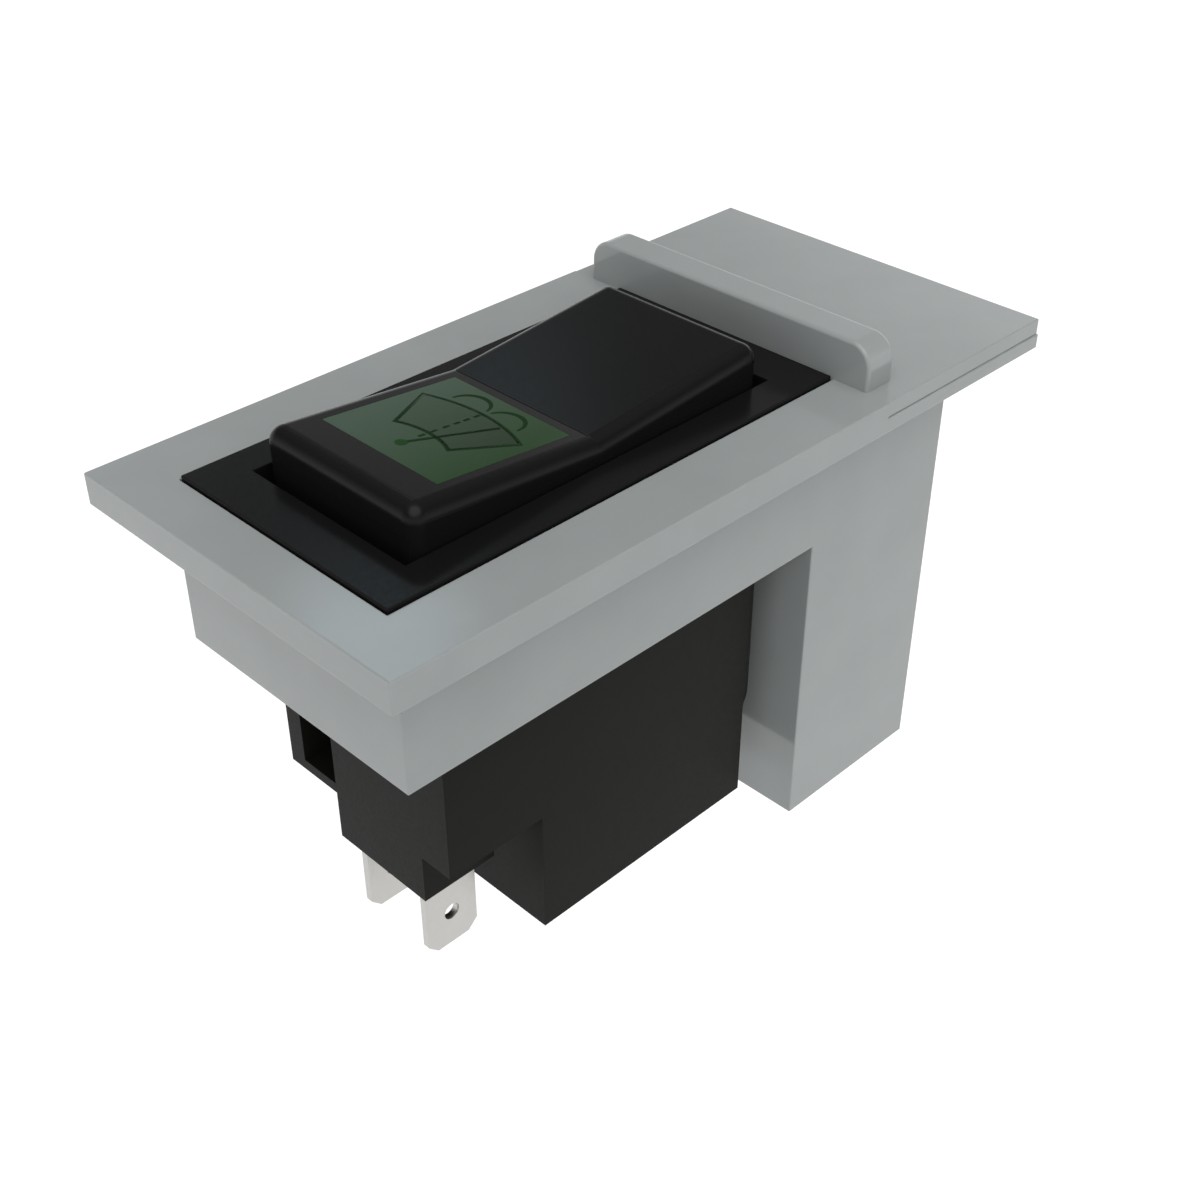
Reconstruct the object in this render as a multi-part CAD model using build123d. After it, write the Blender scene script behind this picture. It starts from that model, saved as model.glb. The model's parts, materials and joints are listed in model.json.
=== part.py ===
from build123d import *
import math
import os

# A dashboard wiper switch in its grey mounting frame. Millimetres, +Z up.
# The origin is the centre of the dashboard opening, on the underside of the frame's flange.
# +X runs along the flange to the leg. The near side is -Y and the front end of the switch is -X.

# Rocker, lens and light reflector
rocker_length = 38.8
rocker_width = 18.6
rocker_end_gap = 1.075
rocker_side_gap = 0.25
crease_rise = 2.02
lens_wing_angle = 5.7
plain_wing_angle = 5.25
rocker_end_drop = 4.83
rocker_mid_drop = 8.83
rocker_mid_length = 12.0
rocker_wall = 1.3
rocker_top_thickness = 1.5
rocker_side_radius = 1.4
lens_end_radius = 1.38
plain_end_radius = 1.0
web_thickness = 1.2
web_rise = 1.0
stiffener_places = (7.0, 13.0)
stiffener_wall = 1.0
stiffener_depth = 4.5
pivot_drop = 5.83
pivot_radius = 2.0
pivot_gap = 0.1
pivot_end_gap = 0.2
pivot_boss_wall = 0.8
pivot_boss_length = 2.15
lens_start = 1.16
lens_length = 13.97
lens_width = 14.1
lens_flange = 0.4
lens_flange_thickness = 0.8
lens_gap = 0.03
reflector_wall = 0.8
reflector_depth = 2.2
reflector_gap = 0.05

# Bezel and upper housing of the switch
housing_end_wall = 1.425
housing_side_wall = 1.45
housing_depth = 12.0
bezel_end_lip = 3.0
bezel_side_lip = 1.9
bezel_thickness = 1.88
bezel_proud = 0.33
bezel_gap = 0.1
latch_width = 8.0
latch_slit = 0.8
latch_catch = 0.5
latch_length = 8.0
latch_top_gap = 0.15
latch_land = 0.7
latch_ramp = 5.0
latch_root = 0.5
latch_roof = 0.3

# Lower body of the switch
body_inset = 2.3
body_depth = 28.4
body_side_wall = 1.5
body_end_wall = 0.9
floor_thickness = 2.0
cap_thickness = 1.0
collar_height = 3.5
collar_gap = 0.08
collar_wall = 0.9
catch_width = 4.0
catch_height = 1.6
catch_proud = 0.5
catch_gap = 0.1
catch_spacing = 24.0
back_step = 1.5
back_chamfer = 2.5
back_edge_radius = 1.45
socket_height = 13.4
tab_block_length = 8.05
tab_block_notch = 3.67
tab_block_width = 11.8
tab_block_height = 5.2
tab_block_gap = 2.65
pocket_outer_wall = 2.03
pocket_height = 12.3
pocket_length = 5.0
pocket_floor = 1.1
pocket_wall = 1.2

# Contact terminals and bridges
pole_offset = 5.2
strip_thickness = 0.8
blade_width = 6.3
blade_pitch = 7.6
blade_recess = 1.0
blade_chamfer = 1.0
neck_width = 2.5
neck_step_front = 1.0
neck_step = 1.8
neck_overlap = 0.5
run_height = 2.0
post_width = 2.6
pad_width = 3.0
contact_offset = 7.0
contact_opening = 0.84
tip_radius = 1.1
tip_height = 0.55
bridge_pivot_rise = 9.4
bridge_pivot_gap = 0.1
bridge_end = 1.3
bridge_width = 3.8
bridge_thickness = 0.6
bridge_cheek_depth = 2.0
bridge_cheek_half = 2.6
bridge_cheek_gap = 0.15

# Plungers, their tubes and their springs
plunger_radius = 1.5
plunger_gap = 0.1
plunger_length = 8.2
plunger_rest_gap = 0.15
plunger_reach = 3.15
tube_wall = 0.9
tube_headroom = 3.2
tube_cap = 1.2
spring_radius = 1.35
spring_wire = 0.34
spring_turns = 4.5
spring_end_gap = 0.05

# Lamp and the two strips that feed it
tab_width = 5.8
tab_edge_gap = 0.1
tab_pitch = 8.28
tab_reach = 8.8
tab_chamfer = 1.07
tab_hole_radius = 0.83
tab_hole_height = 3.8
tab_neck_width = 4.0
tab_shoulder = 1.0
strip_arm_width = 3.0
strip_bend_rise = 1.5
strip_grip_rise = 4.0
strip_end_rise = 6.0
lamp_offset = 11.8
lamp_radius = 2.5
lamp_length = 18.5
lamp_base_height = 6.0
lamp_base_width = 5.0
lamp_base_thickness = 2.2
lamp_grip_gap = 0.02
lamp_tower_height = 7.9
lamp_tower_gap = 0.1

# Grey mounting frame
flange_thickness = 3.0
flange_lip_front = 4.5
flange_lip_side = 5.15
flange_lip_back = 6.6
cutout_gap = 0.1
skirt_gap_front = 1.5
skirt_gap_side = 1.25
skirt_depth = 13.2
frame_wall = 2.0
leg_gap = 0.8
leg_length = 19.1
leg_depth = 46.1
access_length = 10.1
access_width = 20.5
access_margin = 2.0

# Grey rear cover with its finger rib
cover_thickness = 1.55
cover_inset = 0.12
rib_thickness = 3.5
rib_height = 4.25
rib_inset = 2.5
rib_corner_radius = 2.2
rib_edge_radius = 0.35
hook_width = 6.0
hook_thickness = 1.2
hook_catch = 1.0
hook_nose_height = 2.6
hook_land = 0.5
hook_gap = 0.15

# How far a cut runs past the face it opens, and how deep a joined piece is let in
run_out = 1.0
let_in = 0.1

# Lengths that follow: rocker, slot, housing, cut-out, skirt and flange, from the inside out
rocker_half_length = rocker_length / 2
rocker_half_width = rocker_width / 2
slot_half_length = rocker_half_length + rocker_end_gap
slot_half_width = rocker_half_width + rocker_side_gap
upper_half_length = slot_half_length + housing_end_wall
body_half_width = slot_half_width + housing_side_wall
body_half_length = upper_half_length - body_inset
cutout_half_length = upper_half_length + cutout_gap
cutout_half_width = body_half_width + cutout_gap
bezel_half_length = cutout_half_length + bezel_end_lip
bezel_half_width = cutout_half_width + bezel_side_lip
opening_length = frame_wall + skirt_gap_front + 2 * cutout_half_length + leg_gap + leg_length
skirt_half_length = opening_length / 2
skirt_half_width = body_half_width + skirt_gap_side + frame_wall
flange_half_width = skirt_half_width + flange_lip_side

# Places along the frame, with the middle of the opening at 0
switch_x = -skirt_half_length + frame_wall + skirt_gap_front + cutout_half_length
flange_front = -skirt_half_length - flange_lip_front
flange_back = skirt_half_length + flange_lip_back
leg_front = skirt_half_length - leg_length
cover_front = switch_x + bezel_half_length + bezel_gap
cover_back = flange_back - cover_inset
access_back = skirt_half_length - frame_wall - access_margin
body_front = switch_x - body_half_length
body_back = switch_x + body_half_length
socket_start = body_front + tab_block_length + tab_block_gap
socket_back = body_back - back_step
lamp_x = switch_x - lamp_offset

# Places across it
collar_half_width = slot_half_width - collar_gap
tab_block_near = -body_half_width + tab_block_notch
tab_block_far = tab_block_near + tab_block_width
lamp_y = (tab_block_near + tab_block_far) / 2
tab_y = tab_pitch / 2

# Heights, with the underside of the flange at 0
bezel_top = flange_thickness + bezel_proud
bezel_seat = bezel_top - bezel_thickness
cover_seat = flange_thickness - cover_thickness
crease_height = bezel_top + crease_rise
rocker_end_bottom = bezel_top - rocker_end_drop
rocker_mid_bottom = bezel_top - rocker_mid_drop
pivot_height = bezel_top - pivot_drop
collar_middle = -housing_depth + collar_height / 2
floor_bottom = -body_depth
floor_top = floor_bottom + floor_thickness
socket_end = floor_bottom - socket_height
tab_block_end = floor_bottom - tab_block_height
tab_end = tab_block_end - tab_reach
bridge_pivot_height = floor_top + bridge_pivot_rise
plunger_tip = bridge_pivot_height + bridge_pivot_gap + bridge_thickness + plunger_rest_gap
tube_bottom = plunger_tip + plunger_reach
tube_top = crease_height - rocker_top_thickness - tube_headroom
tube_bore_radius = plunger_radius + plunger_gap
spring_top = tube_top - tube_cap
lamp_base_bottom = floor_top + lamp_tower_height
lamp_top = lamp_base_bottom + lamp_length


def block(x, y, z):
    """A box between two values on each axis."""
    size = [high - low for low, high in (x, y, z)]
    middle = [(low + high) / 2 for low, high in (x, y, z)]
    return Pos(*middle) * Box(*size)


def side_prism(points, near, far):
    """A side view outline (x, z) carried across the switch from y = near to y = far."""
    outline = Polyline(*[(x, near, z) for x, z in points], close=True)
    return extrude(make_face(outline), amount=far - near, dir=(0, 1, 0))


def end_prism(points, front, back):
    """An end view outline (y, z) carried along the switch from x = front to x = back."""
    outline = Polyline(*[(front, y, z) for y, z in points], close=True)
    return extrude(make_face(outline), amount=back - front, dir=(1, 0, 0))


def upright_rod(x, y, bottom, top, radius):
    return Pos(x, y, (bottom + top) / 2) * Cylinder(radius, top - bottom)


def cross_rod(x, near, far, z, radius):
    return Pos(x, (near + far) / 2, z) * Rot(90, 0, 0) * Cylinder(radius, far - near)


def span(one, other):
    """Two values in rising order, as block wants them."""
    return min(one, other), max(one, other)


# Mounting frame
def flange():
    """The plate, stepped down for the rear cover and recessed for the bezel."""
    plate = block((flange_front, flange_back), (-flange_half_width, flange_half_width),
                  (0, flange_thickness))
    plate -= block((cover_front, flange_back + run_out),
                   (-flange_half_width - run_out, flange_half_width + run_out),
                   (cover_seat, flange_thickness + run_out))
    recess_half_width = bezel_half_width + bezel_gap
    plate -= block((switch_x - bezel_half_length - bezel_gap, cover_front),
                   (-recess_half_width, recess_half_width), (bezel_seat, flange_thickness + run_out))
    return plate


def skirt_and_leg():
    """The walls round the switch and the hollow leg, open at the bottom."""
    inner = skirt_half_width - frame_wall
    outside = (-skirt_half_width, skirt_half_width)
    walls = block((-skirt_half_length, skirt_half_length), outside, (-skirt_depth, 0))
    walls += block((leg_front, skirt_half_length), outside, (-leg_depth, 0))
    walls -= block((-skirt_half_length + frame_wall, leg_front), (-inner, inner), (-leg_depth, 0))
    walls -= block((leg_front + frame_wall, skirt_half_length - frame_wall), (-inner, inner),
                   (-leg_depth, 0))
    return walls


def mounting_frame():
    frame = flange() + skirt_and_leg()
    frame -= block((switch_x - cutout_half_length, switch_x + cutout_half_length),
                   (-cutout_half_width, cutout_half_width), (-run_out, flange_thickness))
    frame -= block((access_back - access_length, access_back), (-access_width / 2, access_width / 2),
                   (-run_out, flange_thickness))
    return frame


# Rear cover
def finger_rib():
    half = flange_half_width - rib_inset
    rib = block((cover_front, cover_front + rib_thickness), (-half, half),
                (cover_seat, flange_thickness + rib_height))
    ends = rib.edges().filter_by(Axis.X).group_by(Axis.Z)[-1]
    rib = fillet(ends, rib_corner_radius)
    rims = [e for f in rib.faces().filter_by(Axis.X) for e in f.edges()]
    return fillet([e for e in rims if e.center().Z > flange_thickness], rib_edge_radius)


def cover_hook(side):
    """A spring arm that passes the access opening and catches under the flange."""
    middle = access_back - access_length / 2
    outer = side * (access_width / 2 - hook_gap)
    inner = outer - side * hook_thickness
    tip = outer + side * hook_catch
    foot = -hook_gap - hook_nose_height
    outline = [(inner, cover_seat), (outer, cover_seat), (outer, -hook_gap), (tip, -hook_gap),
               (tip, -hook_gap - hook_land), (outer, foot), (inner, foot)]
    return end_prism(outline, middle - hook_width / 2, middle + hook_width / 2)


def rear_cover():
    half = flange_half_width - cover_inset
    cover = block((cover_front, cover_back), (-half, half), (cover_seat, flange_thickness))
    cover += finger_rib()
    for side in (-1, 1):
        cover += cover_hook(side)
    return cover


# Upper housing with its bezel and spring latches
def latch(end):
    """A wedge on a tongue in the end wall. Its flat top catches under the frame."""
    wall = switch_x + end * upper_half_length
    nose = wall + end * latch_catch
    top = -latch_top_gap
    root = wall - end * latch_root
    outline = [(root, top), (nose, top), (nose, top - latch_land), (wall, top - latch_ramp),
               (root, top - latch_ramp)]
    return side_prism(outline, -latch_width / 2, latch_width / 2)


def latch_slits(end):
    """The cuts above and beside a tongue that let it spring inwards."""
    ends = span(switch_x + end * (slot_half_length - run_out),
                switch_x + end * (upper_half_length + run_out))
    half = latch_width / 2
    top = bezel_seat - latch_roof
    slits = block(ends, (-half - latch_slit, half + latch_slit), (-latch_top_gap, top))
    for side in (-1, 1):
        middle = side * (half + latch_slit / 2)
        slits += block(ends, (middle - latch_slit / 2, middle + latch_slit / 2), (-latch_length, top))
    return slits


def catch_places():
    """The middle of each snap window, along the long sides of the housing."""
    return [(switch_x + along * catch_spacing / 2, side) for along in (-1, 1) for side in (-1, 1)]


def bezel_housing():
    housing = block((switch_x - bezel_half_length, switch_x + bezel_half_length),
                    (-bezel_half_width, bezel_half_width), (bezel_seat, bezel_top))
    housing += block((switch_x - upper_half_length, switch_x + upper_half_length),
                     (-body_half_width, body_half_width), (-housing_depth, bezel_seat))
    housing -= block((switch_x - slot_half_length, switch_x + slot_half_length),
                     (-slot_half_width, slot_half_width), (-housing_depth - run_out, bezel_top + run_out))
    for end in (-1, 1):
        housing += latch(end)
        housing -= latch_slits(end)
    housing -= cross_rod(switch_x, -body_half_width - run_out, body_half_width + run_out, pivot_height,
                         pivot_radius + pivot_gap)
    half_width = catch_width / 2 + catch_gap
    half_height = catch_height / 2 + catch_gap
    for along, side in catch_places():
        housing -= block((along - half_width, along + half_width),
                         span(side * (slot_half_width - let_in), side * (body_half_width + let_in)),
                         (collar_middle - half_height, collar_middle + half_height))
    return housing


# Lower body with the connector block, the tab block and the coding pocket
def body_shell():
    outline = [(body_front, -housing_depth - cap_thickness), (body_back, -housing_depth - cap_thickness),
               (body_back, floor_bottom), (socket_back, floor_bottom - back_chamfer),
               (socket_back, socket_end), (socket_start, socket_end),
               (socket_start, floor_bottom), (body_front, floor_bottom)]
    shell = side_prism(outline, -body_half_width, body_half_width)
    back_edges = [e for e in shell.edges().filter_by(Axis.Z) if e.center().X > body_back - let_in]
    shell = fillet(back_edges, back_edge_radius)
    shell += block((switch_x - upper_half_length, switch_x + upper_half_length),
                   (-body_half_width, body_half_width),
                   (-housing_depth - cap_thickness, -housing_depth))
    collar_half_length = slot_half_length - collar_gap
    shell += block((switch_x - collar_half_length, switch_x + collar_half_length),
                   (-collar_half_width, collar_half_width),
                   (-housing_depth, -housing_depth + collar_height))
    return shell


def body_hollows():
    inner_half_width = collar_half_width - collar_wall
    front = body_front + body_end_wall
    back = socket_back - body_side_wall
    chamber = block((front, back), (-inner_half_width, inner_half_width),
                    (floor_top, -housing_depth + collar_height + run_out))
    socket = block((socket_start + body_side_wall, back),
                   (-body_half_width + body_side_wall, body_half_width - body_side_wall),
                   (socket_end - run_out, floor_bottom))
    return chamber, socket


def coding_pocket():
    """The recess in the front end beside the tab block, and the walls round it."""
    near, far = tab_block_far, body_half_width - pocket_outer_wall
    low = floor_bottom + pocket_floor
    inside = block((body_front - run_out, body_front + pocket_length), (near, far),
                   (low, low + pocket_height))
    around = block((body_front + body_end_wall / 2, body_front + pocket_length + pocket_wall),
                   (near - pocket_wall, body_half_width - body_side_wall),
                   (floor_top - let_in, low + pocket_height + pocket_wall))
    return inside, around


def terminal_slots():
    """The strips that are moulded into the floor and the tab block leave slots of their own shape."""
    return list(contact_terminals().values()) + list(lamp_terminals().values())


def lamp_tower():
    """The post between the two lamp strips that the lamp's base stands on."""
    half = tab_y - strip_thickness / 2 - lamp_tower_gap
    return block((lamp_x - lamp_radius, lamp_x + lamp_radius), (lamp_y - half, lamp_y + half),
                 (floor_top - let_in, lamp_base_bottom))


def switch_body():
    body = body_shell()
    body += block((body_front, body_front + tab_block_length), (tab_block_near, tab_block_far),
                  (tab_block_end, floor_bottom))
    chamber, socket = body_hollows()
    pocket, pocket_walls = coding_pocket()
    body = body - chamber - socket + pocket_walls - pocket + lamp_tower()
    for along, side in catch_places():
        body += block((along - catch_width / 2, along + catch_width / 2),
                      span(side * (collar_half_width - let_in), side * (collar_half_width + catch_proud)),
                      (collar_middle - catch_height / 2, collar_middle + catch_height / 2))
    for cut in terminal_slots():
        body -= cut
    return body


# Rocker
def rocker_outline(inset, top_drop, bottom_drop):
    """The V-topped side view, moved in at the ends, down at the top and down at the bottom."""
    half = rocker_half_length - inset
    crease = crease_height - top_drop
    lens_end = crease + half * math.tan(math.radians(lens_wing_angle))
    plain_end = crease + half * math.tan(math.radians(plain_wing_angle))
    return [(switch_x - half, rocker_end_bottom - bottom_drop), (switch_x - half, lens_end),
            (switch_x, crease), (switch_x + half, plain_end),
            (switch_x + half, rocker_end_bottom - bottom_drop),
            (switch_x + rocker_mid_length / 2, rocker_mid_bottom - bottom_drop),
            (switch_x - rocker_mid_length / 2, rocker_mid_bottom - bottom_drop)]


def rocker_skin():
    """The solid rocker: the wings' long edges are rounded first, then the rim of each end face."""
    skin = side_prism(rocker_outline(0, 0, 0), -rocker_half_width, rocker_half_width)
    wings = [f for f in skin.faces() if f.normal_at().Z > 0.9]
    skin = fillet([e for f in wings for e in f.edges() if abs(e.center().Y) > rocker_half_width - let_in],
                  rocker_side_radius)
    for end, radius in ((0, lens_end_radius), (-1, plain_end_radius)):
        rim = skin.faces().sort_by(Axis.X)[end].edges().sort_by(Axis.Z)
        skin = fillet(rim[1:], radius)
    return skin


def on_lens_wing(shape):
    """Places a shape drawn flat, with its top at z = 0, on the wing that carries the lens."""
    return Pos(switch_x, 0, crease_height) * Rot(0, lens_wing_angle, 0) * shape


def lens_plan(grow, high, low):
    """The lens's rectangle with its edges moved out by grow, between two depths under the wing."""
    return block((-lens_start - lens_length - grow, -lens_start + grow),
                 (-lens_width / 2 - grow, lens_width / 2 + grow), (low, high))


def plunger_tube(y):
    tube = upright_rod(switch_x, y, tube_bottom, tube_top, tube_bore_radius + tube_wall)
    bore = upright_rod(switch_x, y, tube_bottom - run_out, spring_top, tube_bore_radius)
    return tube, bore


def rocker_webs():
    """The web over the tubes and the stiffeners under the plain wing."""
    half = rocker_half_width - rocker_wall / 2
    top = crease_height - rocker_top_thickness / 2
    webs = block((switch_x - web_thickness / 2, switch_x + web_thickness / 2), (-half, half),
                 (rocker_mid_bottom + web_rise, top))
    for along in stiffener_places:
        rise = along * math.tan(math.radians(plain_wing_angle))
        place = switch_x + along
        webs += block((place - stiffener_wall / 2, place + stiffener_wall / 2), (-half, half),
                      (crease_height - stiffener_depth, top + rise))
    return webs


def pivot_stub(side):
    """A boss inside the rocker's wall and the stub that turns in the housing's hole."""
    inner = rocker_half_width - pivot_boss_length
    boss = cross_rod(switch_x, *span(side * inner, side * rocker_half_width), pivot_height,
                     pivot_radius + pivot_boss_wall)
    stub = cross_rod(switch_x, *span(side * inner, side * (body_half_width - pivot_end_gap)),
                     pivot_height, pivot_radius)
    return boss + stub


def rocker():
    shell = rocker_skin()
    shell -= side_prism(rocker_outline(rocker_wall, rocker_top_thickness, run_out),
                        -rocker_half_width + rocker_wall, rocker_half_width - rocker_wall)
    shell += rocker_webs()
    for side in (-1, 1):
        tube, bore = plunger_tube(side * pole_offset)
        shell = shell + tube + pivot_stub(side) - bore
    return shell - on_lens_wing(lens_plan(lens_gap, run_out, -rocker_top_thickness - run_out))


def rocker_lens():
    seat = -rocker_top_thickness / math.cos(math.radians(lens_wing_angle))
    lens = lens_plan(0, 0, seat) + lens_plan(lens_flange, seat, seat - lens_flange_thickness)
    return on_lens_wing(lens)


def light_reflector():
    top = -rocker_top_thickness - lens_flange_thickness - reflector_gap
    frame = lens_plan(lens_flange, top, top - reflector_depth)
    frame -= lens_plan(lens_flange - reflector_wall, top + run_out, top - reflector_depth - run_out)
    return on_lens_wing(frame)


# Plungers and springs
def plunger(y):
    rod = upright_rod(switch_x, y, plunger_tip + plunger_radius, plunger_tip + plunger_length,
                      plunger_radius)
    return rod + Pos(switch_x, y, plunger_tip + plunger_radius) * Sphere(plunger_radius)


def plunger_spring(y):
    bottom = plunger_tip + plunger_length + spring_end_gap + spring_wire / 2
    height = spring_top - spring_end_gap - spring_wire / 2 - bottom
    coil = Helix(height / spring_turns, height, spring_radius - spring_wire / 2)
    section = Plane(origin=coil @ 0, z_dir=coil % 0) * RegularPolygon(spring_wire / 2, 4)
    return Pos(switch_x, y, bottom) * sweep(section, coil, is_frenet=True)


# Contact bridges, tips and terminals
def contact_bridge(y):
    low = bridge_pivot_height + bridge_pivot_gap
    bridge = block((switch_x - contact_offset - bridge_end, switch_x + contact_offset + bridge_end),
                   (y - bridge_width / 2, y + bridge_width / 2), (low, low + bridge_thickness))
    inner = strip_thickness / 2 + bridge_cheek_gap
    for side in (-1, 1):
        faces = sorted((y + side * inner, y + side * (inner + bridge_thickness)))
        cheek = [(switch_x - bridge_cheek_half, low), (switch_x + bridge_cheek_half, low),
                 (switch_x + bridge_cheek_half / 2, low - bridge_cheek_depth),
                 (switch_x - bridge_cheek_half / 2, low - bridge_cheek_depth)]
        bridge += side_prism(cheek, *faces)
    return bridge


def tip(x, y, face, direction):
    """A round contact tip that stands on a flat face."""
    return Pos(x, y, face + direction * tip_height / 2) * Cylinder(tip_radius, tip_height)


def moving_tips(y):
    face = bridge_pivot_height + bridge_pivot_gap
    return Compound([tip(switch_x + end * contact_offset, y, face, -1) for end in (-1, 1)])


def pad_top():
    """The height of the fixed terminals' pads, set by the opening between the tips."""
    return bridge_pivot_height + bridge_pivot_gap - 2 * tip_height - contact_opening


def fixed_tips():
    return Compound([tip(switch_x + end * contact_offset, side * pole_offset, pad_top(), 1)
                     for end in (-1, 1) for side in (-1, 1)])


def blade(middle):
    """The side view of a terminal blade in the connector block, with chamfered corners."""
    half = blade_width / 2
    end = socket_end + blade_recess
    return [(middle - half, floor_bottom), (middle - half, end + blade_chamfer),
            (middle - half + blade_chamfer, end), (middle + half - blade_chamfer, end),
            (middle + half, end + blade_chamfer), (middle + half, floor_bottom)]


def contact_terminal(y, place):
    """A flat stamping: blade, neck through the floor, run along it, and post. place is -1, 0 or 1."""
    near, far = y - strip_thickness / 2, y + strip_thickness / 2
    middle = (socket_start + socket_back) / 2 + place * blade_pitch
    post = switch_x + place * contact_offset
    neck = post + post_width / 2 + neck_step_front if place < 0 else middle - neck_step
    terminal = side_prism(blade(middle), near, far)
    terminal += block((neck - neck_width / 2, neck + neck_width / 2), (near, far),
                      (floor_bottom - neck_overlap, floor_top + run_height))
    left = min(post - post_width / 2, neck - neck_width / 2)
    right = max(post + post_width / 2, neck + neck_width / 2)
    terminal += block((left, right), (near, far), (floor_top, floor_top + run_height))
    top = pad_top() if place else bridge_pivot_height - post_width / 2
    terminal += block((post - post_width / 2, post + post_width / 2), (near, far), (floor_top, top))
    if place:
        terminal += block((post - post_width / 2, post + post_width / 2),
                          (y - pad_width / 2, y + pad_width / 2), (top - strip_thickness, top))
    else:
        terminal += cross_rod(post, near, far, top, post_width / 2)
    return terminal


def contact_terminals():
    places = {"front": -1, "centre": 0, "back": 1}
    sides = {"near": -pole_offset, "far": pole_offset}
    return {f"{place}_terminal_{side}": contact_terminal(y, step)
            for place, step in places.items() for side, y in sides.items()}


# Lamp and its strips
def lamp_strip(side):
    """The tab outside, the neck through the block and floor, and the spring arm at the lamp's base."""
    y = lamp_y + side * tab_y
    near, far = y - strip_thickness / 2, y + strip_thickness / 2
    front = body_front + body_end_wall + tab_edge_gap
    back = front + tab_width
    shoulder = tab_block_end + tab_shoulder
    outline = [(front, shoulder), (front, tab_end + tab_chamfer), (front + tab_chamfer, tab_end),
               (back - tab_chamfer, tab_end), (back, tab_end + tab_chamfer), (back, shoulder)]
    strip = side_prism(outline, near, far)
    strip -= cross_rod((front + back) / 2, near - run_out, far + run_out, tab_end + tab_hole_height,
                       tab_hole_radius)
    strip += block((back - tab_neck_width, back), (near, far), (shoulder, floor_top + run_height))
    arm = (lamp_x - strip_arm_width / 2, lamp_x + strip_arm_width / 2)
    strip += block((back - tab_neck_width, arm[1]), (near, far), (floor_top, floor_top + run_height))
    strip += block(arm, (near, far), (floor_top, lamp_base_bottom))
    grip = lamp_y + side * (lamp_base_thickness / 2 + lamp_grip_gap)
    thin = side * strip_thickness / 2
    base = lamp_base_bottom
    bend, touch, end = base + strip_bend_rise, base + strip_grip_rise, base + strip_end_rise
    spring = [(y - thin, base), (y + thin, base), (y + thin, bend), (grip + 2 * thin, touch),
              (y, end), (y - thin, end), (grip, touch), (y - thin, bend)]
    return strip + end_prism(spring, *arm)


def lamp_terminals():
    return {"lamp_terminal_near": lamp_strip(-1), "lamp_terminal_far": lamp_strip(1)}


def lamp():
    """A glass tube with a round top, pinched flat at its foot."""
    shoulder = lamp_base_bottom + lamp_base_height
    glass = upright_rod(lamp_x, lamp_y, shoulder, lamp_top - lamp_radius, lamp_radius)
    glass += Pos(lamp_x, lamp_y, lamp_top - lamp_radius) * Sphere(lamp_radius)
    glass += block((lamp_x - lamp_base_width / 2, lamp_x + lamp_base_width / 2),
                   (lamp_y - lamp_base_thickness / 2, lamp_y + lamp_base_thickness / 2),
                   (lamp_base_bottom, shoulder + let_in))
    return glass


def all_nodes():
    nodes = {"mounting_frame": mounting_frame(), "rear_cover": rear_cover(),
             "bezel_housing": bezel_housing(), "switch_body": switch_body(), "rocker": rocker(),
             "rocker_lens": rocker_lens(), "light_reflector": light_reflector(), "lamp": lamp(),
             "fixed_tips": fixed_tips()}
    nodes.update(contact_terminals())
    nodes.update(lamp_terminals())
    for name, y in (("near", -pole_offset), ("far", pole_offset)):
        nodes[f"plunger_{name}"] = plunger(y)
        nodes[f"plunger_spring_{name}"] = plunger_spring(y)
        nodes[f"seesaw_{name}"] = contact_bridge(y)
        nodes[f"moving_tips_{name}"] = moving_tips(y)
    return nodes


os.makedirs("parts", exist_ok=True)
for name, shape in all_nodes().items():
    export_step(shape, f"parts/{name}.step")
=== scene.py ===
import json
import math
import bmesh
import bpy
import numpy as np
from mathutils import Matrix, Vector


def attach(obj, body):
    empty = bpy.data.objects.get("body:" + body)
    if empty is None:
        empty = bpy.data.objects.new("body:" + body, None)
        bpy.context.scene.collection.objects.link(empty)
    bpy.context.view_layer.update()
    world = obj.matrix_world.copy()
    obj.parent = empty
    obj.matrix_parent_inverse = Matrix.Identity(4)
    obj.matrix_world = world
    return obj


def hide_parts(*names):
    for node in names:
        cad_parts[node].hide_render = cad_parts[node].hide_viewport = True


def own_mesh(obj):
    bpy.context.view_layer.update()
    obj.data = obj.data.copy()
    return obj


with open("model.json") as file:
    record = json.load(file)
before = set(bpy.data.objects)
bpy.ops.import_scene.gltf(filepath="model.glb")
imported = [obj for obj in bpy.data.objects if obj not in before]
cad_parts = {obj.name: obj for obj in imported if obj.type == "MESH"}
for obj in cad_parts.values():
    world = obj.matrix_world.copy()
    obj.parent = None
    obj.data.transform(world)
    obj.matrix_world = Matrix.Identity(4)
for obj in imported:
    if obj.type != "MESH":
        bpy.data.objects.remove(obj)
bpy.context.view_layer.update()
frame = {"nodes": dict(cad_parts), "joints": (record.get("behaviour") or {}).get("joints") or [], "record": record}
nodes = frame["nodes"]
record = frame["record"]

# The wiper switch in its grey mounting frame. Metres, with +X to the leg and +Z to the user.
MM = 0.001
MICRON = 0.001 * MM

# The rocker's crease stands over its pivot, and the lens's wing rises from it towards -X
PIVOT = next(j["pos_m"] for j in frame["joints"] if j["name"] == "rocker_tilt")
CREASE_Z = 5.35 * MM
LENS_TILT = math.radians(5.7)
# Width and half length of the painted shade along the crease's groove
CREASE_SHADE_WIDTH, CREASE_HALF = 0.14 * MM, 8.0 * MM

# The lens's colour lightens along a slanting way across it, from its near -Y side to the far one.
# This is painted reflection, and the windscreen print on it lightens the same way
REFLECTION_WAY = (-0.336, 1.0, 0.0)
REFLECTION_NEAR, REFLECTION_FAR = -1.57 * MM, 12.53 * MM

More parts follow.
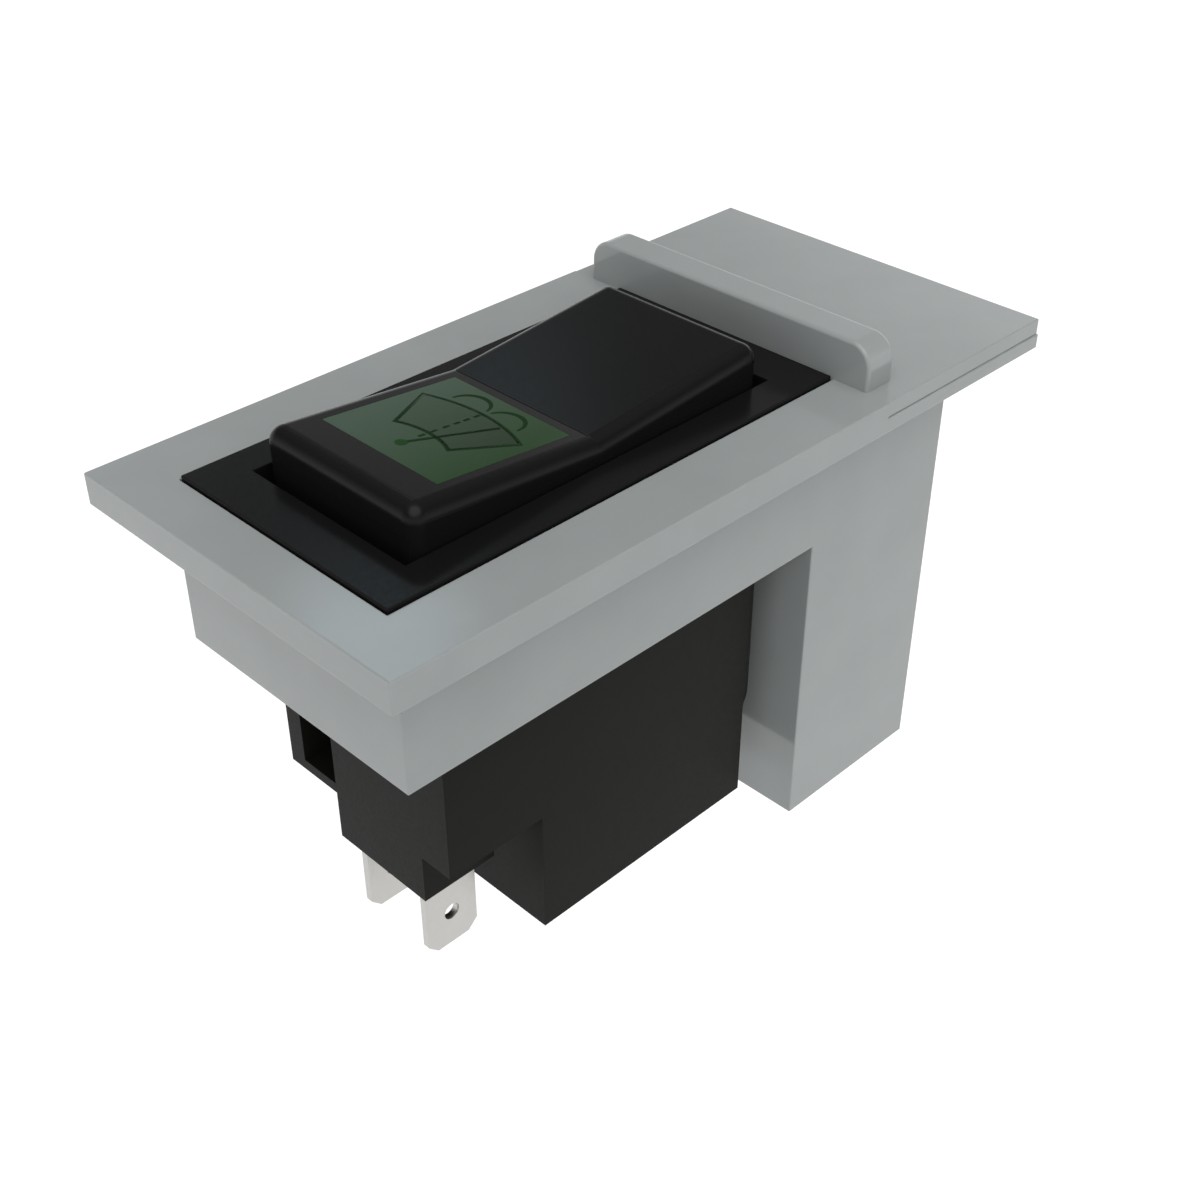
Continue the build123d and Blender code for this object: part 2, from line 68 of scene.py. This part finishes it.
# The sign printed on the lens: x is the distance from the crease, negative towards -X, y is across
PRINT_THICKNESS = 0.012 * MM
PRINT_SINK = 0.004 * MM
SIGN_SHIFT = (-0.12 * MM, 0.06 * MM)
LINE = 0.36 * MM
THIN_LINE = 0.30 * MM
SCREEN_LOW_X, SCREEN_LOW_HALF, SCREEN_LOW_APEX = -10.60 * MM, 3.28 * MM, -9.83 * MM
SCREEN_HIGH_X, SCREEN_HIGH_HALF, SCREEN_HIGH_APEX = -5.43 * MM, 5.94 * MM, -4.11 * MM
DOT_X, DOT_RADIUS, DOT_CORNERS = -12.64 * MM, 0.53 * MM, 48
ARM_START, ARM_END = (-12.16 * MM, -0.17 * MM), (-4.72 * MM, -2.80 * MM)
DASH_STARTS = [start * MM for start in (-10.89, -9.61, -8.33, -7.23, -6.17, -5.07)]
DASH_LENGTH = 0.68 * MM
SPRAY_CENTRE, SPRAY_RADIUS = (-3.80 * MM, 2.08 * MM), 1.85 * MM
SPRAY_FROM, SPRAY_TO = math.radians(-79), math.radians(94)
SPRAY_TIP, SPRAY_MIDDLE = 0.18 * MM, 0.44 * MM

# The finishes' noise, in features for each metre: slow clouds of colour, fine specks of gloss and
# skin, and sink marks. Smooth noise mostly keeps to its middle range.
CLOUD_SCALE, SPECK_SCALE, SINK_SCALE = 140.0, 2600.0, 90.0
NOISE_LOW, NOISE_HIGH = 0.3, 0.7
GLOSS_SPREAD = 0.15

# The Mix node's sockets when it mixes colours: its factor, its two colours and its result
MIX_FACTOR, MIX_FIRST, MIX_SECOND, MIX_RESULT = 0, 6, 7, 2


def shader_node(tree, kind, sockets=None, **settings):
    """A node of a node tree, with its settings, and each socket given a value or a link."""
    made = tree.nodes.new("ShaderNode" + kind)
    for name, value in settings.items():
        setattr(made, name, value)
    for name, value in (sockets or {}).items():
        if isinstance(value, bpy.types.NodeSocket):
            tree.links.new(value, made.inputs[name])
        else:
            made.inputs[name].default_value = value
    return made


def noise(tree, place, scale, detail=2.0, roughness=0.5):
    """Smooth noise over a piece's own coordinates. Scale is in features for each metre."""
    made = shader_node(tree, "TexNoise", {"Vector": place, "Scale": scale, "Detail": detail,
                                          "Roughness": roughness})
    return made.outputs[0]


def spread(tree, value, low, high):
    """Carries a noise value from its middle range to low..high."""
    made = shader_node(tree, "MapRange", {"Value": value, "From Min": NOISE_LOW,
                                          "From Max": NOISE_HIGH, "To Min": low, "To Max": high})
    return made.outputs["Result"]


def mixed(tree, factor, first, second, way="MIX"):
    """The colour that a Mix node makes of two colours. Each of the three is a value or a link."""
    made = shader_node(tree, "Mix", {MIX_FACTOR: factor, MIX_FIRST: first, MIX_SECOND: second},
                       data_type="RGBA", blend_type=way)
    return made.outputs[MIX_RESULT]


def moulded(name, colour, roughness, level, mottle=0.03, grain=0.4, metallic=0.0, waviness=0.5,
            far_reflection_colour=None):
    """A moulded or stamped finish: a colour with faint mottling, uneven gloss and a fine skin.

    Colour is linear and level is the strength of its gloss. Grain is the depth of the fine skin and
    waviness that of the sink marks, both in micrometres. With a far reflection colour, the colour
    changes to it evenly along the reflection way, as a painted reflection towards the far side.
    """
    material = bpy.data.materials.new(name)
    material.use_nodes = True
    tree = material.node_tree
    shader = tree.nodes["Principled BSDF"]
    shader.inputs["Specular IOR Level"].default_value = level
    shader.inputs["Metallic"].default_value = metallic
    place = shader_node(tree, "TexCoord").outputs["Object"]
    cloud = noise(tree, place, CLOUD_SCALE, detail=3.0)
    speck = noise(tree, place, SPECK_SCALE, roughness=0.6)
    dark = [c * (1 - mottle) for c in colour]
    light = [c * (1 + mottle) for c in colour]
    tint = mixed(tree, spread(tree, cloud, 0.0, 1.0), (*dark, 1), (*light, 1))
    # Painted reflection: the colour changes to the far colour along the way across the piece
    if far_reflection_colour:
        across = shader_node(tree, "VectorMath", {0: place, 1: REFLECTION_WAY}, operation="DOT_PRODUCT")
        turn = shader_node(tree, "MapRange", {"Value": across.outputs["Value"],
                                              "From Min": REFLECTION_NEAR, "From Max": REFLECTION_FAR})
        tint = mixed(tree, turn.outputs["Result"], tint, (*far_reflection_colour, 1))
    tree.links.new(tint, shader.inputs["Base Color"])
    gloss = spread(tree, speck, roughness * (1 - GLOSS_SPREAD), roughness * (1 + GLOSS_SPREAD))
    tree.links.new(gloss, shader.inputs["Roughness"])
    sink = shader_node(tree, "Bump", {"Height": noise(tree, place, SINK_SCALE), "Strength": 1.0,
                                      "Distance": waviness * MICRON})
    skin = shader_node(tree, "Bump", {"Height": speck, "Strength": 1.0, "Distance": grain * MICRON,
                                      "Normal": sink.outputs[0]})
    tree.links.new(skin.outputs[0], shader.inputs["Normal"])
    return material


GREY = moulded("grey_moulding", (0.305, 0.322, 0.320), 0.10, 0.5, grain=0.08, waviness=0.3)
BEZEL = moulded("bezel_moulding", (0.0072, 0.0070, 0.0070), 0.20, 0.13, grain=0.1, waviness=0.3)
ROCKER = moulded("rocker_moulding", (0.0074, 0.0071, 0.0069), 0.20, 0.125, grain=0.1, waviness=0.3)
BODY = moulded("body_moulding", (0.0100, 0.0097, 0.0088), 0.36, 0.045, grain=0.15, waviness=0.3)
# The lens lightens towards its far side by painted reflection
LENS = moulded("lens_green", (0.0065, 0.0390, 0.0045), 0.20, 0.18, grain=0.1, waviness=0.3,
               far_reflection_colour=(0.0460, 0.0800, 0.0530))
PRINT = moulded("sign_print", (0.0040, 0.0240, 0.0040), 0.32, 0.03, grain=0.1)
DOT_PRINT = moulded("sign_dot_print", (0.0085, 0.0440, 0.0080), 0.32, 0.04, grain=0.1)
# The windscreen print lightens towards its far side too, by painted reflection
GLAZING = moulded("windscreen_print", (0.0060, 0.0240, 0.0045), 0.22, 0.15, grain=0.1,
                  far_reflection_colour=(0.0400, 0.0700, 0.0430))
# Painted shade for the groove along the rocker's crease
PAINTED_SHADE_LINE = moulded("crease_shade", (0.0020, 0.0020, 0.0020), 0.40, 0.03, grain=0.1)
NYLON = moulded("natural_nylon", (0.68, 0.67, 0.62), 0.42, 0.4)
TIN = moulded("tin_plate", (0.52, 0.51, 0.49), 0.34, 0.5, metallic=1.0, grain=0.3)
SILVER = moulded("contact_silver", (0.82, 0.81, 0.78), 0.2, 0.5, metallic=1.0)
BRONZE = moulded("contact_bronze", (0.62, 0.36, 0.17), 0.3, 0.5, metallic=1.0)
STEEL = moulded("spring_wire", (0.42, 0.42, 0.44), 0.28, 0.5, metallic=1.0)


def lamp_glass():
    """Clear glass with very faint mottling and a fine skin."""
    material = moulded("lamp_glass", (0.93, 0.95, 0.95), 0.05, 0.5, mottle=0.01, grain=0.1)
    shader = material.node_tree.nodes["Principled BSDF"]
    shader.inputs["Transmission Weight"].default_value = 1.0
    shader.inputs["IOR"].default_value = 1.5
    return material


FINISHES = {
    "grey_plastic": GREY, "bezel_black": BEZEL, "rocker_black": ROCKER, "body_black": BODY,
    "green_lens": LENS, "white_nylon": NYLON, "lamp_glass": lamp_glass(), "tinned_brass": TIN,
    "contact_silver": SILVER, "contact_bronze": BRONZE, "spring_steel": STEEL,
}


def finish_nodes():
    """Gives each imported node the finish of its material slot."""
    for part in record["subparts"]:
        node = nodes[part["node"]]
        if not node.material_slots:
            node.data.materials.append(None)
        for place in node.material_slots:
            place.material = FINISHES[part["material_slot"]]


finish_nodes()

# Small rounds that the moulds and the press leave on outer edges, which turn by more than the outer
# angle. What still turns by more than the sharp angle after that is shaded as an edge.
OUTER, SHARP = math.radians(40), math.radians(28)
ROUND_STRIPS = 4
EDGE_ROUNDS = {
    "mounting_frame": 0.14 * MM, "rear_cover": 0.12 * MM, "bezel_housing": 0.12 * MM,
    "switch_body": 0.15 * MM, "lamp_terminal_near": 0.06 * MM, "lamp_terminal_far": 0.06 * MM,
}

# Packed points this close are one point, faces this flat are one face, and points that the rounds
# leave this close are merged
SAME_POINT, SAME_PLANE, ROUND_CRUMB = 0.001 * MM, math.radians(0.5), 0.002 * MM

# The cover's front face meets the frame along a seam, up to the flange's top. An edge that lies this
# near to the seam's plane, and no more than this over the top, is on the seam.
SEAM_X = 16.90 * MM
FLANGE_TOP = 3.0 * MM
SEAM_NEAR, TOP_NEAR = 0.1 * MM, 0.01 * MM


def at_seam(edge):
    """Whether an edge lies along the seam between frame and cover, where the two close tight."""
    return all(abs(vert.co.x - SEAM_X) < SEAM_NEAR and vert.co.z < FLANGE_TOP + TOP_NEAR
               for vert in edge.verts)


def takes_round(edge):
    """Whether an edge gets a round: it turns outwards by more than the outer angle, off the seam."""
    outer = edge.is_manifold and edge.is_convex and edge.calc_face_angle() > OUTER
    return outer and not at_seam(edge)


def rounded(name, size):
    """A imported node's mesh with its outer edges rounded.

    Its doubles are merged and its flat faces joined first. Each outer edge then becomes strips of
    an arc that leaves both faces at the size from the edge, so that on a square edge its radius is
    the size. The edges that are still sharp are marked, and the rest is shaded smooth.
    """
    form = bmesh.new()
    form.from_mesh(nodes[name].data)
    bmesh.ops.remove_doubles(form, verts=form.verts, dist=SAME_POINT)
    bmesh.ops.dissolve_limit(form, angle_limit=SAME_PLANE, verts=form.verts, edges=form.edges)
    outer = [edge for edge in form.edges if takes_round(edge)]
    bmesh.ops.bevel(form, geom=outer, offset=size, offset_type="OFFSET", segments=ROUND_STRIPS,
                    profile=0.5, affect="EDGES", clamp_overlap=True)
    bmesh.ops.remove_doubles(form, verts=form.verts, dist=ROUND_CRUMB)
    bmesh.ops.dissolve_degenerate(form, edges=form.edges, dist=ROUND_CRUMB)
    for edge in form.edges:
        edge.smooth = edge.is_manifold and edge.calc_face_angle() < SHARP
    for face in form.faces:
        face.smooth = True
    mesh = bpy.data.meshes.new(name + "_moulded")
    form.to_mesh(mesh)
    form.free()
    return mesh


def body_of(name):
    """The body that carries a node."""
    bodies = record["behaviour"]["bodies"]
    return next(body for body, carried in bodies.items() if name in carried)


def stand_in(name, mesh, ending):
    """Puts a mesh in a node's place, in the node's finish and on the node's body."""
    part = next(row for row in record["subparts"] if row["node"] == name)
    mesh.materials.clear()
    mesh.materials.append(FINISHES[part["material_slot"]])
    piece = bpy.data.objects.new(name + ending, mesh)
    bpy.context.scene.collection.objects.link(piece)
    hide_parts(name)
    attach(piece, body_of(name))
    return piece


def round_edges(name, size):
    """Stands a copy of a node, with its outer edges rounded, in the node's place."""
    piece = stand_in(name, rounded(name, size), "_moulded")
    flats = piece.modifiers.new("flat_faces", "WEIGHTED_NORMAL")
    flats.mode = "FACE_AREA"
    flats.keep_sharp = True


for name, size in EDGE_ROUNDS.items():
    round_edges(name, size)


def shorten(name):
    """Stands a copy of a spring in its place, in the spring's finish and on its body.
    """
    piece = stand_in(name, nodes[name].data.copy(), "_coil")
    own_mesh(piece)


for joint in record["behaviour"]["joints"]:
    for row in joint.get("deforming_nodes", ()):
        shorten(row["node"])


def on_lens(points):
    """Turns flat points (x, y, height) of the sign to their place on the lens's wing.

    They are shifted along and across, turned about the crease by the lens's tilt, which lifts what
    lies towards -X, and moved to the crease.
    """
    x, y, height = points[..., 0] + SIGN_SHIFT[0], points[..., 1] + SIGN_SHIFT[1], points[..., 2]
    along = PIVOT[0] + x * math.cos(LENS_TILT) + height * math.sin(LENS_TILT)
    up = CREASE_Z - x * math.sin(LENS_TILT) + height * math.cos(LENS_TILT)
    return np.stack([along, y, up], axis=-1)


def ribbon(path, width, closed=False):
    """A printed stroke: a flat bar of four corners carried along a path of (x, y) points.

    Each point's corners lie half a width to its left and right, along the normal of the path's
    tangent there, lengthened at a bend by one over the cosine of half its turn. The width is one
    value or a column with one for each point.
    """
    path = np.asarray(path, float)
    before = path - np.roll(path, 1, axis=0)
    after = np.roll(path, -1, axis=0) - path
    if not closed:
        before[0], after[-1] = after[0], before[-1]
    before /= np.linalg.norm(before, axis=1, keepdims=True)
    after /= np.linalg.norm(after, axis=1, keepdims=True)
    tangent = before + after
    tangent /= np.linalg.norm(tangent, axis=1, keepdims=True)
    stretch = 1 / np.sum(tangent * after, axis=1, keepdims=True)
    side = np.stack([-tangent[:, 1], tangent[:, 0]], axis=1) * stretch * width / 2
    low, high = np.full(len(path), -PRINT_SINK), np.full(len(path), PRINT_THICKNESS)
    ring = [np.column_stack([path + side, high]), np.column_stack([path - side, high]),
            np.column_stack([path - side, low]), np.column_stack([path + side, low])]
    points = np.stack(ring, axis=1).reshape(-1, 3)
    count, corners = len(path), len(ring)
    steps = np.arange(count if closed else count - 1)
    here, there = steps * corners, (steps + 1) % count * corners
    faces = []
    for corner in range(corners):
        beside = (corner + 1) % corners
        sides = [here + corner, here + beside, there + beside, there + corner]
        faces += np.stack(sides, axis=1).tolist()
    if not closed:
        end = np.arange(corners)
        faces += [end[::-1].tolist(), (end + (count - 1) * corners).tolist()]
    return points, faces


def patch(outline):
    """A flat printed area: its outline twice, at its foot and its top, with a wall between them."""
    outline = np.asarray(outline, float)
    count = len(outline)
    points = np.concatenate([np.column_stack([outline, np.full(count, -PRINT_SINK)]),
                             np.column_stack([outline, np.full(count, PRINT_THICKNESS)])])
    foot = np.arange(count)
    after = (foot + 1) % count
    walls = np.stack([foot, after, after + count, foot + count], axis=1).tolist()
    return points, walls + [foot[::-1].tolist(), (foot + count).tolist()]


def arc(centre, radius, start, end, count=40):
    """Points of a circle's arc: the centre plus the radius times cosine and sine of the angle."""
    angle = np.linspace(start, end, count)
    return np.column_stack([centre[0] + radius * np.cos(angle), centre[1] + radius * np.sin(angle)])


def bow(x, half, apex, count=33):
    """A shallow arc across the lens, from -half to half, whose middle stands at apex.

    Its circle's radius is (half squared plus rise squared) over twice the rise.
    """
    rise = apex - x
    radius = (half * half + rise * rise) / (2 * rise)
    reach = math.asin(half / radius)
    return arc((apex - radius, 0.0), radius, -reach, reach, count)


def join(shapes):
    """One list of points and one of faces from those of several shapes."""
    points, faces, start = [], [], 0
    for some, sides in shapes:
        points.append(some)
        faces += [[corner + start for corner in side] for side in sides]
        start += len(some)
    return np.concatenate(points), faces


def printed(name, shapes, material):
    """A thin printed piece on the lens's wing, made of flat shapes, which tilts with the rocker."""
    points, faces = join(shapes)
    mesh = bpy.data.meshes.new(name)
    mesh.from_pydata(on_lens(points).tolist(), [], faces)
    mesh.materials.append(material)
    piece = bpy.data.objects.new(name, mesh)
    bpy.context.scene.collection.objects.link(piece)
    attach(piece, "rocker")


def windscreen_outline():
    """The windscreen: a bow below, a wider bow above, and straight sides between their ends."""
    low = bow(SCREEN_LOW_X, SCREEN_LOW_HALF, SCREEN_LOW_APEX)
    high = bow(SCREEN_HIGH_X, SCREEN_HIGH_HALF, SCREEN_HIGH_APEX)
    return np.concatenate([high, low[::-1]])


def sprays():
    """The strokes of the two sprays, one on each side of the centre line.

    Each is thin at its tips and swells by the sine of half a turn along its length.
    """
    path = arc(SPRAY_CENTRE, SPRAY_RADIUS, SPRAY_FROM, SPRAY_TO)
    swell = np.sin(np.linspace(0, math.pi, len(path)))[:, None]
    width = SPRAY_TIP + (SPRAY_MIDDLE - SPRAY_TIP) * swell
    return [ribbon(path * (1, side), width) for side in (1, -1)]


def dot_outline():
    """The wiper's pivot: points at even angles round a circle."""
    last = math.tau * (DOT_CORNERS - 1) / DOT_CORNERS
    return arc((DOT_X, 0.0), DOT_RADIUS, 0.0, last, DOT_CORNERS)


def sign():
    """The washer and wiper sign: windscreen, wiper with its pivot, dashed centre line and sprays."""
    outline = windscreen_outline()
    printed("sign_windscreen", [patch(outline)], GLAZING)
    strokes = [ribbon(outline, LINE, closed=True), ribbon([ARM_START, ARM_END], LINE)]
    for start in DASH_STARTS:
        strokes.append(ribbon([(start, 0.0), (start + DASH_LENGTH, 0.0)], THIN_LINE))
    printed("sign_lines", strokes + sprays(), PRINT)
    printed("sign_dot", [patch(dot_outline())], DOT_PRINT)


def crease_line():
    """A thin dark strip along the rocker's crease: painted shade of the groove there."""
    crease = ribbon([(0.0, CREASE_HALF), (0.0, -CREASE_HALF)], CREASE_SHADE_WIDTH)
    printed("crease_line", [crease], PAINTED_SHADE_LINE)


sign()
crease_line()

# The camera of the product view looks down one corner's diagonal
FOCAL_LENGTH, SENSOR_WIDTH = 50.0, 36.0
VIEWPOINT, VIEW_WAY = (-90.26 * MM, -91.32 * MM, 71.86 * MM), (1, 1, -1)
NEAREST = 5.0 * MM


def camera():
    """The camera, which shows nothing nearer than the nearest distance."""
    data = bpy.data.cameras.new("camera")
    data.lens = FOCAL_LENGTH
    data.sensor_width = SENSOR_WIDTH
    data.clip_start = NEAREST
    viewer = bpy.data.objects.new("camera", data)
    viewer.location = VIEWPOINT
    viewer.rotation_euler = Vector(VIEW_WAY).to_track_quat("-Z", "Y").to_euler()
    bpy.context.scene.collection.objects.link(viewer)
    bpy.context.scene.camera = viewer


camera()

# The studio's brightness at the sine of a height, from straight down to straight up, and the share
# of it that its red has
WALL_STEPS = [(-1.0, 0.85), (-0.3, 1.02), (0.04, 1.02), (0.486, 0.16), (0.60, 0.17), (0.86, 0.40),
              (1.0, 0.60)]
WALL_RED = 0.985
# Its lamps: direction, the angle in degrees within which a lamp is full, the angle beyond which it is
# nothing, and the colour that it adds
LAMPS = [((-0.275, -0.41, 0.87), 16.0, 46.0, (2.07, 2.07, 2.07)),
         ((0.941, 0.250, 0.227), 0.0, 30.5, (1.03, 1.03, 1.03)),
         ((0.296, 0.814, 0.50), 3.0, 10.0, (0.30, 0.33, 0.36)),
         ((0.467, 0.655, 0.595), 0.5, 4.0, (1.05, 1.40, 1.60))]


def shine(tree, way, toward, inner, outer):
    """One within the inner angle of a direction, falling to nothing at the outer one.

    The fall is a smooth step between the cosines of the two angles, which are in degrees.
    """
    near = shader_node(tree, "VectorMath", {0: way, 1: Vector(toward).normalized()},
                       operation="DOT_PRODUCT")
    fall = shader_node(tree, "MapRange", {"Value": near.outputs["Value"],
                                          "From Min": math.cos(math.radians(outer)),
                                          "From Max": math.cos(math.radians(inner))},
                       interpolation_type="SMOOTHSTEP")
    return fall.outputs["Result"]


def studio():
    """A pale studio: bright low down, dim above, with its soft lamps painted on the world."""
    world = bpy.data.worlds.new("studio")
    bpy.context.scene.world = world
    world.use_nodes = True
    tree = world.node_tree
    background = tree.nodes["Background"]
    way = shader_node(tree, "TexCoord").outputs["Generated"]
    height = shader_node(tree, "SeparateXYZ", {"Vector": way}).outputs["Z"]
    ramp = shader_node(tree, "ValToRGB")
    up = shader_node(tree, "MapRange", {"Value": height, "From Min": -1.0, "From Max": 1.0})
    tree.links.new(up.outputs["Result"], ramp.inputs["Fac"])
    band = ramp.color_ramp
    while len(band.elements) < len(WALL_STEPS):
        band.elements.new(0.5)
    for element, (rise, value) in zip(band.elements, WALL_STEPS):
        element.position = (rise + 1) / 2
        element.color = (value * WALL_RED, value, value, 1)
    light = ramp.outputs["Color"]
    for toward, inner, outer, colour in LAMPS:
        light = mixed(tree, shine(tree, way, toward, inner, outer), light, (*colour, 1), way="ADD")
    tree.links.new(light, background.inputs["Color"])


studio()

# The floor's half width and height in metres, its grey, and the glow that dull surfaces get from it
# and that the eye, gloss and glass see
FLOOR_HALF, FLOOR_Z = 1.5, -0.35
FLOOR_GREY = (0.5, 0.5, 0.5, 1)
DULL_GLOW, SEEN_GLOW = 0.20, 0.62


def pale_floor():
    """The floor's finish: white to the eye and in gloss and glass, and dimmer for dull surfaces."""
    material = bpy.data.materials.new("pale_floor")
    material.use_nodes = True
    tree = material.node_tree
    shader = tree.nodes["Principled BSDF"]
    shader.inputs["Base Color"].default_value = FLOOR_GREY
    shader.inputs["Roughness"].default_value = 0.9
    shader.inputs["Specular IOR Level"].default_value = 0.0
    shader.inputs["Emission Color"].default_value = (1, 1, 1, 1)
    rays = shader_node(tree, "LightPath").outputs
    direct = shader_node(tree, "Math", {0: rays["Is Camera Ray"], 1: rays["Is Glossy Ray"]},
                         operation="MAXIMUM")
    seen = shader_node(tree, "Math", {0: direct.outputs[0], 1: rays["Is Transmission Ray"]},
                       operation="MAXIMUM")
    glow = shader_node(tree, "MapRange", {"Value": seen.outputs[0], "To Min": DULL_GLOW,
                                          "To Max": SEEN_GLOW})
    tree.links.new(glow.outputs["Result"], shader.inputs["Emission Strength"])
    return material


def floor():
    """A wide pale floor far below the switch, so that its shadow stays faint."""
    corners = [(-FLOOR_HALF, -FLOOR_HALF, FLOOR_Z), (FLOOR_HALF, -FLOOR_HALF, FLOOR_Z),
               (FLOOR_HALF, FLOOR_HALF, FLOOR_Z), (-FLOOR_HALF, FLOOR_HALF, FLOOR_Z)]
    mesh = bpy.data.meshes.new("floor")
    mesh.from_pydata(corners, [], [(0, 1, 2, 3)])
    mesh.materials.append(pale_floor())
    ground = bpy.data.objects.new("floor", mesh)
    bpy.context.scene.collection.objects.link(ground)


floor()

bpy.context.scene.view_settings.view_transform = "Standard"
